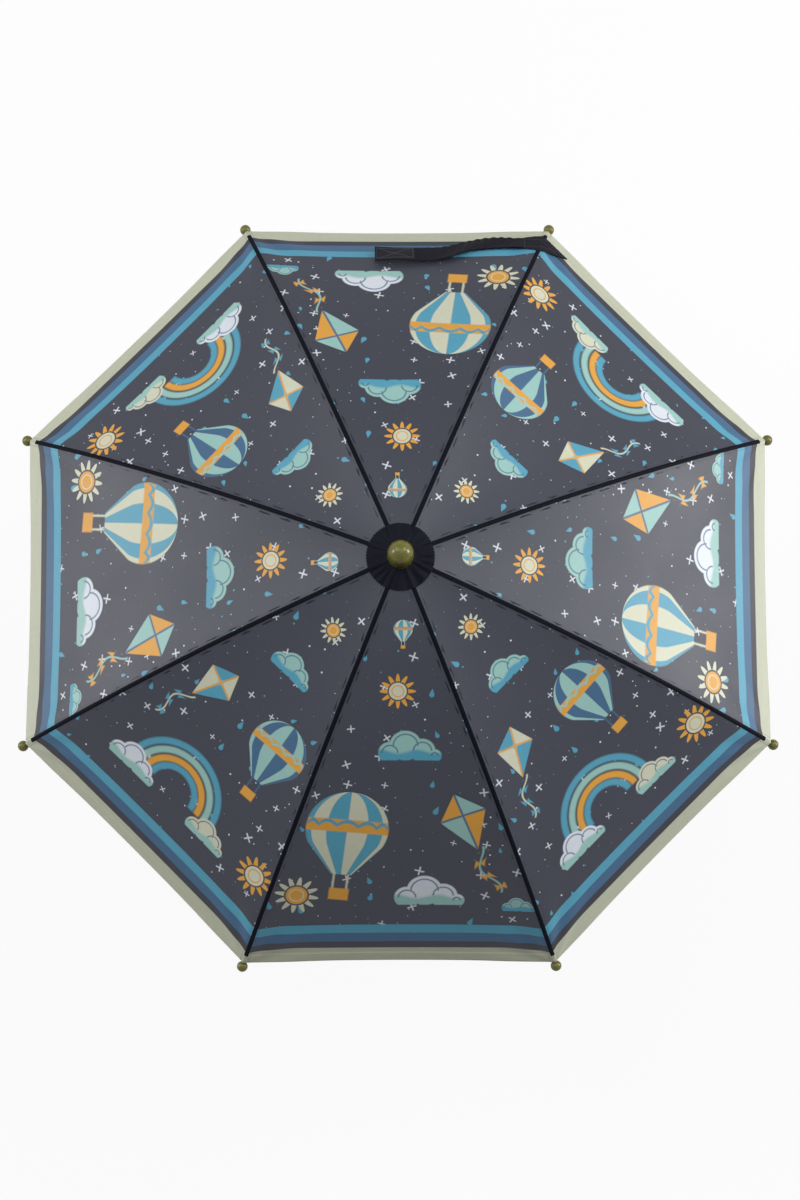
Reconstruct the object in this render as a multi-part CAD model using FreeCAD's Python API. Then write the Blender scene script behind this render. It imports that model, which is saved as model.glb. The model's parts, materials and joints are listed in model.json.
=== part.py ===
import FreeCAD, Part
import math
import os

from FreeCAD import Placement, Rotation, Vector

# A children's stick umbrella, open, in millimetres with +Z up the shaft.
# The origin is the middle of the straight hand grip, on the shaft's axis.
# Eight bowed ribs hinge on the crown. A stretcher joins each rib to the runner, which slides on the shaft.
# Crown and runner carry their hinges on circles of one radius, and each stretcher is as long as the straight
# line from the crown hinge to its joint in the rib. So the runner travels exactly along the shaft.

# --- Shaft ---
shaft_diameter = 8.0
shaft_wall = 0.6
shaft_above_crown = 19.0
shaft_in_grip = 68.0

# --- Folding frame ---
rib_count = 8
hinge_radius = 7.0
rib_length = 378.4
rib_bow_radius = 657.0
rib_root_slope = 12.0
stretcher_length = 189.0
fold_angle = 59.8
closed_clearance = 4.0

# --- Ribs and stretchers: folded steel strip ---
rib_width = 2.6
rib_depth = 2.4
rib_wall = 0.35
stretcher_depth = 2.8
stretcher_wall = 0.5
fork_length = 18.0
eye_radius = 1.3
eye_thickness = 1.2
rib_blade_length = 7.0
stretcher_blade_length = 10.0
solid_end = 3.0
hinge_wire_radius = 0.5
rivet_radius = 0.8
rivet_head_radius = 1.15
rivet_head_height = 0.45

# --- Ball tips ---
ball_diameter = 9.0
tip_socket_radius = 1.5
tip_socket_length = 16.0
tip_pin_radius = 0.8
tip_bore_end = 2.0

# --- Crown and runner ---
hinge_rim = 1.6
crown_top = 2.3
crown_below = 3.2
crown_neck_wall = 1.4
crown_neck_length = 5.0
runner_head_height = 6.0
runner_wall = 1.5
runner_length = 46.0
thumb_flange_width = 2.2
thumb_flange_height = 3.0
window_height = 9.0
window_below_hinge = 17.0

# --- Catches and pins in the shaft ---
catch_width = 2.2
catch_reach = 6.4
catch_arm_length = 33.0
catch_arm_thickness = 1.0
catch_nose_height = 7.5
catch_nose_tip = 2.0
catch_eye_radius = 1.4
catch_pin_radius = 0.6
catch_play = 0.5
catch_slot_end_gap = 1.0
stop_pin_radius = 0.8
stop_pin_overhang = 1.2

# --- Canopy, rosette and strap: cloth ---
cloth_thickness = 0.4
hem_setback = 6.2
rosette_radius = 27.4
under_disc_radius = 8.6
strap_length = 139.0
strap_width = 15.0
strap_thickness = 0.8
strap_patch_length = 30.0
strap_patch_width = 13.0
strap_patch_thickness = 0.4
strap_lean = 10.4
strap_above_hem = 17.0
strap_past_seam = 2.0

# --- Finial ---
finial_radius = 10.25
finial_wall_height = 12.0
finial_dome_height = 13.5

# --- Hand grip and collar ---
grip_length = 80.0
grip_radius = 7.5
crook_radius = 27.0
crook_end_length = 10.0
collar_radius = 8.7
collar_height = 8.0
collar_foot = 1.0

# --- Clearances ---
running_gap = 0.06
fixed_gap = 0.03
side_gap = 0.25
cloth_gap = 0.3

# --- Worked-out places ---
shaft_radius = shaft_diameter / 2
rib_step = 360.0 / rib_count
half_step = rib_step / 2
rivet_slope = rib_root_slope + 2 * math.degrees(math.asin(stretcher_length / (2 * rib_bow_radius)))
open_angle = 90.0 - (rib_root_slope + rivet_slope) / 2
closed_angle = open_angle - fold_angle
open_drop = 2 * stretcher_length * math.cos(math.radians(open_angle))
closed_drop = 2 * stretcher_length * math.cos(math.radians(closed_angle))
runner_travel = closed_drop - open_drop
runner_below_hinge = runner_length - runner_head_height / 2
grip_top = grip_length / 2
collar_top = grip_top + collar_height
crown_height = collar_top + closed_clearance + runner_below_hinge + closed_drop
runner_height = crown_height - open_drop
bow_centre_x = hinge_radius - rib_bow_radius * math.sin(math.radians(rib_root_slope))
bow_centre_z = crown_height - rib_bow_radius * math.cos(math.radians(rib_root_slope))
bore_radius = shaft_radius + running_gap
rim_radius = hinge_radius + hinge_rim
canopy_hole_radius = (rim_radius + cloth_gap) / math.cos(math.radians(half_step))
fork_half_width = rib_width / 2 + side_gap + stretcher_wall
gore_slant = math.tan(math.radians(half_step)) * math.sin(math.radians(rivet_slope))
fork_top = stretcher_depth / 2 + fork_half_width * gore_slant
cloth_lift = max(rib_depth / 2, tip_socket_radius, fork_top) + cloth_gap
window_top = runner_height - window_below_hinge
window_bottom = window_top - window_height
up = Vector(0, 0, 1)
across = Vector(0, 1, 0)
centre = Vector(0, 0, 0)


def slope_at(length):
    """Slope of the bowed rib, in degrees below level, at a length from the crown hinge."""
    return rib_root_slope + math.degrees(length / rib_bow_radius)


def bow_point(slope, lift=0.0):
    """Point of the rib's arc with the given slope, lifted at right angles to the arc."""
    angle = math.radians(slope)
    reach = rib_bow_radius + lift
    return Vector(bow_centre_x + reach * math.sin(angle), 0, bow_centre_z + reach * math.cos(angle))


def turned(shape, angle):
    """Copy of a shape turned about the shaft."""
    copy = shape.copy()
    copy.rotate(centre, up, angle)
    return copy


def cross_pin(radius, length, x, z):
    """Cylinder that lies across the XZ plane, with its middle on that plane."""
    return Part.makeCylinder(radius, length, Vector(x, -length / 2, z), across)


def centred_box(x0, x1, width, z0, z1):
    """Box between two x and two z values, with its middle on the XZ plane."""
    return Part.makeBox(x1 - x0, width, z1 - z0, Vector(x0, -width / 2, z0))


def turned_profile(points):
    """Solid of revolution about the shaft from (radius, height) corners."""
    corners = [Vector(r, 0, z) for r, z in points]
    return Part.Face(Part.makePolygon(corners + corners[:1])).revolve(centre, up, 360)


def arc_bar(section, slope_from, slope_to):
    """Bar along the rib's arc. The section holds (across, lift) corners."""
    corners = [Vector(bow_centre_x, y, bow_centre_z + rib_bow_radius + z) for y, z in section]
    face = Part.Face(Part.makePolygon(corners + corners[:1]))
    bow_centre = Vector(bow_centre_x, 0, bow_centre_z)
    face.rotate(bow_centre, across, slope_from)
    return face.revolve(bow_centre, across, slope_to - slope_from)


def make_shaft():
    """Steel tube with a slot for each catch and a hole for each pin across it."""
    bottom = grip_top - shaft_in_grip
    length = crown_height + shaft_above_crown - bottom
    tube = Part.makeCylinder(shaft_radius, length, Vector(0, 0, bottom))
    tube = tube.cut(Part.makeCylinder(shaft_radius - shaft_wall, length, Vector(0, 0, bottom)))
    slot_width = catch_width + 2 * side_gap
    margin = catch_play + catch_slot_end_gap
    for face_z, side in catch_places():
        low, high = sorted((face_z + side * margin, face_z - side * (catch_nose_height + margin)))
        tube = tube.cut(centred_box(0, shaft_diameter, slot_width, low, high))
        pin_z = face_z - side * catch_arm_length
        tube = tube.cut(cross_pin(catch_pin_radius + fixed_gap, 2 * shaft_diameter, 0, pin_z))
    return tube.cut(cross_pin(stop_pin_radius + fixed_gap, 2 * shaft_diameter, 0, stop_pin_height()))


def stop_pin_height():
    """Height of the pin that the open runner's head stops against."""
    return runner_height + runner_head_height / 2 + cloth_gap + stop_pin_radius


def make_stop_pin():
    """Pin across the shaft, just above the open runner."""
    return cross_pin(stop_pin_radius, shaft_diameter + 2 * stop_pin_overhang, 0, stop_pin_height())


def catch_places():
    """Height of each catch's holding face, and which way that face looks: +1 up, -1 down."""
    return [
        (window_top - catch_play, 1),
        (window_bottom - runner_travel + catch_play, -1),
    ]


def make_catch(face_z, side):
    """Flat catch inside the shaft: an eye, a springy arm, and a nose that looks out through the slot."""
    half_arm = catch_arm_thickness / 2
    corners = [
        (-half_arm, -catch_arm_length),
        (half_arm, -catch_arm_length),
        (half_arm, -catch_nose_height),
        (catch_reach, -catch_nose_tip),
        (catch_reach, 0),
        (-half_arm, 0),
    ]
    points = [Vector(x, -catch_width / 2, face_z + side * z) for x, z in corners]
    blade = Part.Face(Part.makePolygon(points + points[:1])).extrude(across * catch_width)
    pin_z = face_z - side * catch_arm_length
    blade = blade.fuse(cross_pin(catch_eye_radius, catch_width, 0, pin_z))
    return blade.cut(cross_pin(catch_pin_radius + running_gap, 2 * catch_width, 0, pin_z)).removeSplitter()


def make_catch_pin(face_z, side):
    """Pin across the shaft that a catch turns on, cut flush so that the runner passes over it."""
    flush = math.sqrt(shaft_radius ** 2 - catch_pin_radius ** 2)
    return cross_pin(catch_pin_radius, 2 * flush, 0, face_z - side * catch_arm_length)


def hinge_ring(hinge_z, body, slot_low, slot_high):
    """Body of the crown or runner with its wire groove and one slot for each eye."""
    groove_gap = hinge_wire_radius + running_gap
    groove = turned_profile([
        (hinge_radius - groove_gap, hinge_z - groove_gap),
        (2 * rim_radius, hinge_z - groove_gap),
        (2 * rim_radius, hinge_z + groove_gap),
        (hinge_radius - groove_gap, hinge_z + groove_gap),
    ])
    body = body.cut(groove)
    inner = hinge_radius - eye_radius - cloth_gap
    slot = centred_box(inner, 2 * rim_radius, eye_thickness + side_gap, slot_low, slot_high)
    for rib in range(rib_count):
        body = body.cut(turned(slot, half_step + rib * rib_step))
    return body


def make_crown():
    """Plastic hub fixed to the top of the shaft. Its slots are open below, where the ribs fold to."""
    bore = shaft_radius + fixed_gap
    neck = bore + crown_neck_wall
    low = crown_height - crown_below
    body = turned_profile([
        (bore, low - crown_neck_length),
        (neck, low - crown_neck_length),
        (neck, low),
        (rim_radius, low),
        (rim_radius, crown_height + crown_top),
        (bore, crown_height + crown_top),
    ])
    roof = crown_height + eye_radius + cloth_gap
    return hinge_ring(crown_height, body, low - crown_neck_length, roof)


def make_runner():
    """Plastic sleeve that slides on the shaft, with a window that a catch's nose stands in."""
    sleeve = bore_radius + runner_wall
    flange = sleeve + thumb_flange_width
    top = runner_height + runner_head_height / 2
    low = top - runner_length
    head_low = runner_height - runner_head_height / 2
    body = turned_profile([
        (bore_radius, low),
        (flange, low),
        (flange, low + thumb_flange_height),
        (sleeve, low + thumb_flange_height + thumb_flange_width),
        (sleeve, head_low - (rim_radius - sleeve)),
        (rim_radius, head_low),
        (rim_radius, top),
        (bore_radius, top),
    ])
    window_width = catch_width + 2 * side_gap
    body = body.cut(centred_box(0, 2 * rim_radius, window_width, window_bottom, window_top))
    slot_floor = runner_height - eye_radius - cloth_gap
    return hinge_ring(runner_height, body, slot_floor, runner_height + runner_head_height)


def make_hinge_wire(hinge_z):
    """Ring of wire that passes through all the eyes of the crown or runner."""
    return Part.makeTorus(hinge_radius, hinge_wire_radius, Vector(0, 0, hinge_z), up)


def make_rib():
    """Bowed steel channel, open below, with a flat eye at the crown and a round end for its tip."""
    half_width = rib_width / 2
    half_depth = rib_depth / 2
    inner = half_width - rib_wall
    block = [
        (-half_width, -half_depth),
        (-half_width, half_depth),
        (half_width, half_depth),
        (half_width, -half_depth),
    ]
    channel = block + [
        (inner, -half_depth),
        (inner, half_depth - rib_wall),
        (-inner, half_depth - rib_wall),
        (-inner, -half_depth),
    ]
    channel_start = slope_at(rib_blade_length)
    channel_end = slope_at(rib_length - tip_socket_length - cloth_gap)
    block_slope = math.degrees(solid_end / rib_bow_radius)
    rib = arc_bar(channel, channel_start, channel_end)
    rib = rib.fuse(arc_bar(block, channel_start, channel_start + block_slope))
    rib = rib.fuse(arc_bar(block, channel_end - block_slope, channel_end))
    blade = centred_box(0, rib_blade_length + solid_end / 2, eye_thickness, -half_depth, half_depth)
    blade = blade.fuse(cross_pin(eye_radius, eye_thickness, 0, 0))
    blade = blade.cut(cross_pin(hinge_wire_radius + running_gap + fixed_gap, 2 * rib_width, 0, 0))
    blade.rotate(centre, across, rib_root_slope)
    blade.translate(Vector(hinge_radius, 0, crown_height))
    pin = Part.makeCylinder(tip_pin_radius, tip_socket_length + solid_end / 2 - tip_bore_end - cloth_gap)
    pin.translate(Vector(0, 0, -tip_socket_length - solid_end / 2))
    rib = rib.fuse(blade).fuse(placed_at_tip(pin))
    joint = bow_point(rivet_slope)
    return rib.cut(cross_pin(rivet_radius + fixed_gap, 2 * rib_width, joint.x, joint.z)).removeSplitter()


def placed_at_tip(shape):
    """Shape made about the origin with +Z outwards, moved to the ball's middle and in line with the rib."""
    shape.rotate(centre, across, 90 + slope_at(rib_length - tip_socket_length / 2))
    shape.translate(bow_point(slope_at(rib_length)))
    return shape


def make_tip():
    """Ball tip with a socket for the rib's round end."""
    tip = Part.makeSphere(ball_diameter / 2)
    tip = tip.fuse(Part.makeCylinder(tip_socket_radius, tip_socket_length, Vector(0, 0, -tip_socket_length)))
    bore_length = tip_socket_length - tip_bore_end
    bore = Part.makeCylinder(tip_pin_radius + fixed_gap, bore_length, Vector(0, 0, -tip_socket_length))
    return placed_at_tip(tip.cut(bore))


def make_stretcher():
    """Steel channel, forked round the rib at one end and flattened to an eye for the runner at the other."""
    half_depth = stretcher_depth / 2
    inner_width = rib_width + 2 * side_gap
    width = 2 * fork_half_width
    past_end = stretcher_length + stretcher_depth
    web_end = stretcher_length - fork_length
    start = stretcher_blade_length - solid_end / 2
    trough_start = stretcher_blade_length + solid_end / 2
    bar = centred_box(start, stretcher_length, width, -half_depth, half_depth)
    bar = bar.fuse(cross_pin(half_depth, width, stretcher_length, 0))
    web_top = stretcher_wall - half_depth
    bar = bar.cut(centred_box(trough_start, past_end, inner_width, web_top, stretcher_depth))
    bar = bar.cut(centred_box(web_end, past_end, inner_width, -stretcher_depth, stretcher_depth))
    bar = bar.cut(cross_pin(rivet_radius + running_gap, 2 * width, stretcher_length, 0))
    blade = centred_box(0, stretcher_blade_length, eye_thickness, -eye_radius, eye_radius)
    blade = blade.fuse(cross_pin(eye_radius, eye_thickness, 0, 0))
    blade = blade.cut(cross_pin(hinge_wire_radius + running_gap + fixed_gap, 2 * width, 0, 0))
    stretcher = bar.fuse(blade).removeSplitter()
    stretcher.rotate(centre, across, open_angle - 90)
    stretcher.translate(Vector(hinge_radius, 0, runner_height))
    return stretcher


def make_rivet():
    """Rivet through the fork and the rib, with a head on each side."""
    joint = bow_point(rivet_slope)
    rivet = cross_pin(rivet_radius, 2 * (fork_half_width + side_gap), joint.x, joint.z)
    for side in (-1, 1):
        head_at = Vector(joint.x, side * (fork_half_width + running_gap), joint.z)
        head = Part.makeCylinder(rivet_head_radius, rivet_head_height, head_at, across * side)
        rivet = rivet.fuse(head)
    return rivet.removeSplitter()


def cloth_arc(lift):
    """Section of the canopy half-way between two ribs: the rib's arc, narrowed by the gore's slant."""
    narrow = math.cos(math.radians(half_step))
    major = rib_bow_radius + lift
    minor = major * narrow
    middle = Vector(bow_centre_x * narrow, 0, bow_centre_z)
    ellipse = Part.Ellipse(middle + up * major, middle + Vector(minor, 0, 0), middle)
    inner = math.asin((canopy_hole_radius - bow_centre_x) / major)
    outer = math.radians(slope_at(rib_length - hem_setback))
    ends = [Vector(minor * math.sin(slope), 0, major * math.cos(slope)) for slope in (inner, outer)]
    angles = sorted(ellipse.parameter(middle + end) for end in ends)
    return Part.ArcOfEllipse(ellipse, *angles).toShape()


def make_panel():
    """One gore of the canopy, stretched straight between two ribs and clear above them."""
    under = cloth_arc(cloth_lift)
    over = cloth_arc(cloth_lift + cloth_thickness)
    lower, upper = [sorted((v.Point for v in arc.Vertexes), key=lambda p: p.x) for arc in (under, over)]
    ends = [Part.makeLine(lower[i], upper[i]) for i in (0, 1)]
    section = Part.Face(Part.Wire(Part.__sortEdges__([under, ends[1], over, ends[0]])))
    reach = upper[1].x / math.cos(math.radians(half_step))
    spread = math.tan(math.radians(half_step))
    section.translate(across * -reach * spread)
    sheet = section.extrude(across * (2 * reach * spread))
    apex = side_gap / 2 / math.sin(math.radians(half_step))
    corners = [Vector(apex, 0, 0)] + [Vector(reach, side * (reach - apex) * spread, 0) for side in (1, -1)]
    wedge = Part.Face(Part.makePolygon(corners + corners[:1])).extrude(up * (2 * crown_height))
    return sheet.common(wedge)


def make_rosette():
    """Cloth disc over the middle of the canopy, held down by the finial."""
    flat_z = crown_height + crown_top + cloth_thickness + cloth_gap
    edge_slope = slope_at(rosette_radius - hinge_radius)
    edge_z = bow_point(edge_slope, cloth_lift + cloth_thickness).z + cloth_gap
    return turned_profile([
        (shaft_radius + fixed_gap, flat_z),
        (canopy_hole_radius, flat_z),
        (rosette_radius, edge_z),
        (rosette_radius, edge_z + cloth_thickness),
        (canopy_hole_radius, flat_z + cloth_thickness),
        (shaft_radius + fixed_gap, flat_z + cloth_thickness),
    ])


def make_under_disc():
    """Cloth washer between the crown and the finial, in the hole of the canopy."""
    washer = Part.makeCylinder(under_disc_radius, cloth_thickness, Vector(0, 0, crown_height + crown_top))
    return washer.cut(Part.makeCylinder(shaft_radius + fixed_gap, 2 * crown_height))


def make_finial():
    """Domed cap pushed onto the top of the shaft, with a straight wall."""
    low = crown_height + crown_top + 2 * cloth_thickness + cloth_gap
    wall_top = low + finial_wall_height
    bore = shaft_radius + fixed_gap
    bore_top = crown_height + shaft_above_crown + fixed_gap
    dome_at = Vector(0, 0, wall_top)
    dome = Part.Ellipse(dome_at + up * finial_dome_height, dome_at + Vector(finial_radius, 0, 0), dome_at)
    quarter = Part.ArcOfEllipse(dome, 0, math.pi / 2).toShape()
    apex = Vector(0, 0, wall_top + finial_dome_height)
    rim = Vector(finial_radius, 0, wall_top)
    corners = [apex, Vector(0, 0, low), Vector(finial_radius, 0, low), rim]
    section = Part.Face(Part.Wire(Part.makePolygon(corners).Edges + [quarter]))
    cap = section.revolve(centre, up, 360)
    return cap.cut(Part.makeCylinder(bore, bore_top - low, Vector(0, 0, low)))


def make_grip():
    """Straight grip with a blind bore for the shaft, bent into a crook with a rounded end."""
    crook_z = -grip_length / 2
    end_x = 2 * crook_radius
    grip = Part.makeCylinder(grip_radius, grip_length, Vector(0, 0, crook_z))
    ring = Part.Face(Part.Wire(Part.makeCircle(grip_radius, Vector(0, 0, crook_z), up)))
    bend = ring.revolve(Vector(crook_radius, 0, crook_z), across, -180)
    end = Part.makeCylinder(grip_radius, crook_end_length, Vector(end_x, 0, crook_z))
    knob = Part.makeSphere(grip_radius, Vector(end_x, 0, crook_z + crook_end_length))
    grip = grip.fuse([bend, end, knob]).removeSplitter()
    bore_low = grip_top - shaft_in_grip - fixed_gap
    return grip.cut(Part.makeCylinder(shaft_radius + fixed_gap, grip_length, Vector(0, 0, bore_low)))


def make_collar():
    """Ring that closes the top of the grip round the shaft."""
    bore = shaft_radius + fixed_gap
    return turned_profile([
        (bore, grip_top),
        (collar_radius, grip_top),
        (collar_radius, grip_top + collar_foot),
        (bore + collar_foot, collar_top),
        (bore, collar_top),
    ])


def strap_placement():
    """Place and turn of the strap's sewn end: x along the strap, y up the slope, z out of the canopy."""
    narrow = math.cos(math.radians(half_step))
    slope = slope_at(rib_length - hem_setback - strap_above_hem)
    lift = cloth_lift + cloth_thickness + cloth_gap
    on_rib = bow_point(slope, lift)
    steep = math.atan2(math.sin(math.radians(slope)), narrow * math.cos(math.radians(slope)))
    uphill = Vector(-math.cos(steep), 0, math.sin(steep))
    outward = Vector(math.sin(steep), 0, math.cos(steep))
    start = Vector(narrow * on_rib.x, strap_past_seam - on_rib.x * math.sin(math.radians(half_step)), on_rib.z)
    lean = Rotation(outward, strap_lean)
    along = lean.multVec(across)
    return Placement(start, Rotation(along, lean.multVec(uphill), outward, "ZXY"))


def make_strap():
    """Woven tie strap, sewn at one end beside a seam, lying along the hem on the outside of the canopy."""
    strap = Part.makeBox(strap_length, strap_width, strap_thickness, Vector(0, -strap_width / 2, 0))
    strap.Placement = strap_placement()
    return turned(strap, strap_azimuth)


def make_strap_patch():
    """Piece of hook tape sewn on the strap's free end."""
    border = (strap_width - strap_patch_width) / 2
    start = Vector(strap_length - border - strap_patch_length, -strap_patch_width / 2, strap_thickness)
    patch = Part.makeBox(strap_patch_length, strap_patch_width, strap_patch_thickness, start)
    patch.Placement = strap_placement()
    return turned(patch, strap_azimuth)


strap_azimuth = 2 * rib_step
top_catch, bottom_catch = catch_places()
nodes = {
    "shaft": make_shaft(),
    "stop_pin": make_stop_pin(),
    "top_catch": make_catch(*top_catch),
    "top_catch_pin": make_catch_pin(*top_catch),
    "bottom_catch": make_catch(*bottom_catch),
    "bottom_catch_pin": make_catch_pin(*bottom_catch),
    "crown": make_crown(),
    "crown_wire": make_hinge_wire(crown_height),
    "runner": make_runner(),
    "runner_wire": make_hinge_wire(runner_height),
    "under_disc": make_under_disc(),
    "rosette": make_rosette(),
    "finial": make_finial(),
    "hand_grip": make_grip(),
    "grip_collar": make_collar(),
    "tie_strap": make_strap(),
    "tie_strap_patch": make_strap_patch(),
}
repeated = {
    "rib": (make_rib(), half_step),
    "rib_tip": (make_tip(), half_step),
    "rib_rivet": (make_rivet(), half_step),
    "stretcher": (make_stretcher(), half_step),
    "canopy_panel": (make_panel(), rib_step),
}
for name, (shape, first_azimuth) in repeated.items():
    for number in range(rib_count):
        nodes[f"{name}_{number + 1}"] = turned(shape, first_azimuth + number * rib_step)

os.makedirs("parts", exist_ok=True)
for name, shape in nodes.items():
    shape.exportStep(f"parts/{name}.step")
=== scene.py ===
import json
import math
from functools import partialmethod

import bmesh
import bpy
import numpy as np
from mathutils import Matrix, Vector


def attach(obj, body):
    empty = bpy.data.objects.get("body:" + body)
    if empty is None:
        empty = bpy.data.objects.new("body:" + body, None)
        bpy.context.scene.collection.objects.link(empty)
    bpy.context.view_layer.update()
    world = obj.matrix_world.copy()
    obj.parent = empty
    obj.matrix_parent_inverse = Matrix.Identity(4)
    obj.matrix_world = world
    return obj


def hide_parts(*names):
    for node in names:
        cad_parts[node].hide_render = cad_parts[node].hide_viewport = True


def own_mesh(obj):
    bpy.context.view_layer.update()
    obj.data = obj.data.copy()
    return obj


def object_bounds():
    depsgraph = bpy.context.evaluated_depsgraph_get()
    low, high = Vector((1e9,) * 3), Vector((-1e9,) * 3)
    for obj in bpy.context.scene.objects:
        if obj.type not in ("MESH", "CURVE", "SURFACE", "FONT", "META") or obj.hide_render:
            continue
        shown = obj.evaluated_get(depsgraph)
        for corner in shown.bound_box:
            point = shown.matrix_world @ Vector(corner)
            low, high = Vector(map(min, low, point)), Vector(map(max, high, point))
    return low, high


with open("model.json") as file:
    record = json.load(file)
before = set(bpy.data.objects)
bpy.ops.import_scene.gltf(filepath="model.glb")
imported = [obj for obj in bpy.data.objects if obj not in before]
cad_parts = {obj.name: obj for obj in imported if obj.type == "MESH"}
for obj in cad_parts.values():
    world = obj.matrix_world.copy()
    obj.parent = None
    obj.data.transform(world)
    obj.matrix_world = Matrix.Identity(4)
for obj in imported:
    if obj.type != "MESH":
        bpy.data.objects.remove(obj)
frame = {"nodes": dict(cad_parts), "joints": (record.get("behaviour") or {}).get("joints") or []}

cad_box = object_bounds()

# ----------------------------------------------------------------------
# Shaft: a thin steel tube, drawn and plated. It is pressed into the grip below and carries the crown
# above. Pins across it hold the two catches and stop the runner.


def new_material(name):
    """A material with a Principled shader, its node tree, and that shader."""
    material = bpy.data.materials.new(name)
    material.use_nodes = True
    return material, material.node_tree, material.node_tree.nodes["Principled BSDF"]


def set_up(tree, node, **values):
    """The node. Each value sets one of its settings or, by a name with underscores, an input."""
    for name, value in values.items():
        value = value.socket if isinstance(value, Number) else value
        if hasattr(node, name):
            setattr(node, name, value)
        elif isinstance(value, bpy.types.NodeSocket):
            tree.links.new(value, node.inputs[name.replace("_", " ")])
        else:
            node.inputs[name.replace("_", " ")].default_value = value
    return node


def add_node(tree, kind, **values):
    """A new node of that kind, set up with those values."""
    return set_up(tree, tree.nodes.new(kind), **values)


class Number:
    """A number that varies over a surface. Arithmetic on it adds Math nodes to its tree."""

    def __init__(self, tree, socket):
        self.tree = tree
        self.socket = socket

    def math(self, operation, *others):
        node = self.tree.nodes.new("ShaderNodeMath")
        node.operation = operation
        for entry, value in zip(node.inputs, (self, *others)):
            if isinstance(value, Number):
                self.tree.links.new(value.socket, entry)
            else:
                entry.default_value = value
        return Number(self.tree, node.outputs[0])

    __add__ = partialmethod(math, "ADD")
    __sub__ = partialmethod(math, "SUBTRACT")
    __mul__ = partialmethod(math, "MULTIPLY")
    __truediv__ = partialmethod(math, "DIVIDE")
    __neg__ = partialmethod(math, "MULTIPLY", -1)
    __abs__ = partialmethod(math, "ABSOLUTE")
    __lt__ = partialmethod(math, "LESS_THAN")
    __gt__ = partialmethod(math, "GREATER_THAN")
    least = partialmethod(math, "MINIMUM")
    most = partialmethod(math, "MAXIMUM")

    def inside(self, softness):
        """1 where the number is above zero and 0 below, with a soft step between."""
        node = add_node(self.tree, "ShaderNodeMapRange", Value=self, From_Min=-softness, From_Max=softness)
        return Number(self.tree, node.outputs["Result"])


def mixed(tree, mask, under, over, blend="MIX"):
    """Colour over laid on colour under, as far as the mask says."""
    node = tree.nodes.new("ShaderNodeMix")
    node.data_type = "RGBA"
    node.blend_type = blend
    for entry, value in ((node.inputs["Factor"], mask), (node.inputs[6], under), (node.inputs[7], over)):
        if isinstance(value, Number):
            value = value.socket
        if isinstance(value, bpy.types.NodeSocket):
            tree.links.new(value, entry)
        else:
            entry.default_value = value
    return node.outputs[2]


def roughen(tree, shader, height, strength, depth):
    """Bumps of that height and depth in the shader's normal."""
    bump = add_node(tree, "ShaderNodeBump", Strength=strength, Distance=depth, Height=height)
    set_up(tree, shader, Normal=bump.outputs[0])


def new_group(name, inputs, outputs):
    """An empty shader group with those sockets, and its input and output nodes."""
    group = bpy.data.node_groups.new(name, "ShaderNodeTree")
    for label, kind in inputs.items():
        group.interface.new_socket(name=label, in_out="INPUT", socket_type=f"NodeSocket{kind}")
    for label, kind in outputs.items():
        group.interface.new_socket(name=label, in_out="OUTPUT", socket_type=f"NodeSocket{kind}")
    return group, group.nodes.new("NodeGroupInput"), group.nodes.new("NodeGroupOutput")


def srgb(red, green, blue):
    """Linear colour of an sRGB colour given in 0 to 255."""
    values = np.array([red, green, blue]) / 255
    linear = np.where(values <= 0.04045, values / 12.92, ((values + 0.055) / 1.055) ** 2.4)
    return (*linear.tolist(), 1.0)


def surface_wear_group():
    """Wear of a hard surface. Grain is its fine texture, Tone its slow change of shade, and Scuffs are
    the thin scratches where a stretched noise crosses its middle value."""
    inputs = {"Place": "Vector", "Grain Scale": "Float", "Scuff Width": "Float"}
    outputs = {"Grain": "Float", "Tone": "Float", "Scuffs": "Float"}
    group, start, end = new_group("surface_wear", inputs, outputs)
    place, grain_scale = start.outputs["Place"], start.outputs["Grain Scale"]
    grain = add_node(group, "ShaderNodeTexNoise", Vector=place, Scale=grain_scale, Detail=2.0)
    slow = add_node(group, "ShaderNodeTexNoise", Vector=place, Scale=45.0, Detail=3.0)
    stretched = add_node(group, "ShaderNodeMapping", Vector=place)
    set_up(group, stretched, Rotation=(0.5, 0.3, 0.9), Scale=(60, 420, 160))
    lines = add_node(group, "ShaderNodeTexNoise", Vector=stretched.outputs[0], Scale=1.0, Detail=4.0)
    patches = add_node(group, "ShaderNodeTexNoise", Vector=place, Scale=80.0)
    near_middle = Number(group, start.outputs["Scuff Width"])
    scuffs = (near_middle - abs(Number(group, lines.outputs[0]) - 0.5)).inside(0.006)
    scuffs = scuffs * (Number(group, patches.outputs[0]) - 0.54).inside(0.08)
    set_up(group, end, Grain=grain.outputs[0], Tone=slow.outputs[0], Scuffs=scuffs)
    return group


surface_wear = surface_wear_group()


def worn_material(name, grain_scale, scuff_width):
    """A new material with its tree and shader, and the tone, scuffs and grain of its worn surface."""
    material, tree, shader = new_material(name)
    place = add_node(tree, "ShaderNodeTexCoord").outputs["Object"]
    wear = add_node(tree, "ShaderNodeGroup", node_tree=surface_wear, Place=place)
    set_up(tree, wear, Grain_Scale=grain_scale, Scuff_Width=scuff_width)
    return material, tree, shader, *(Number(tree, wear.outputs[part]) for part in ("Tone", "Scuffs", "Grain"))


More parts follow.
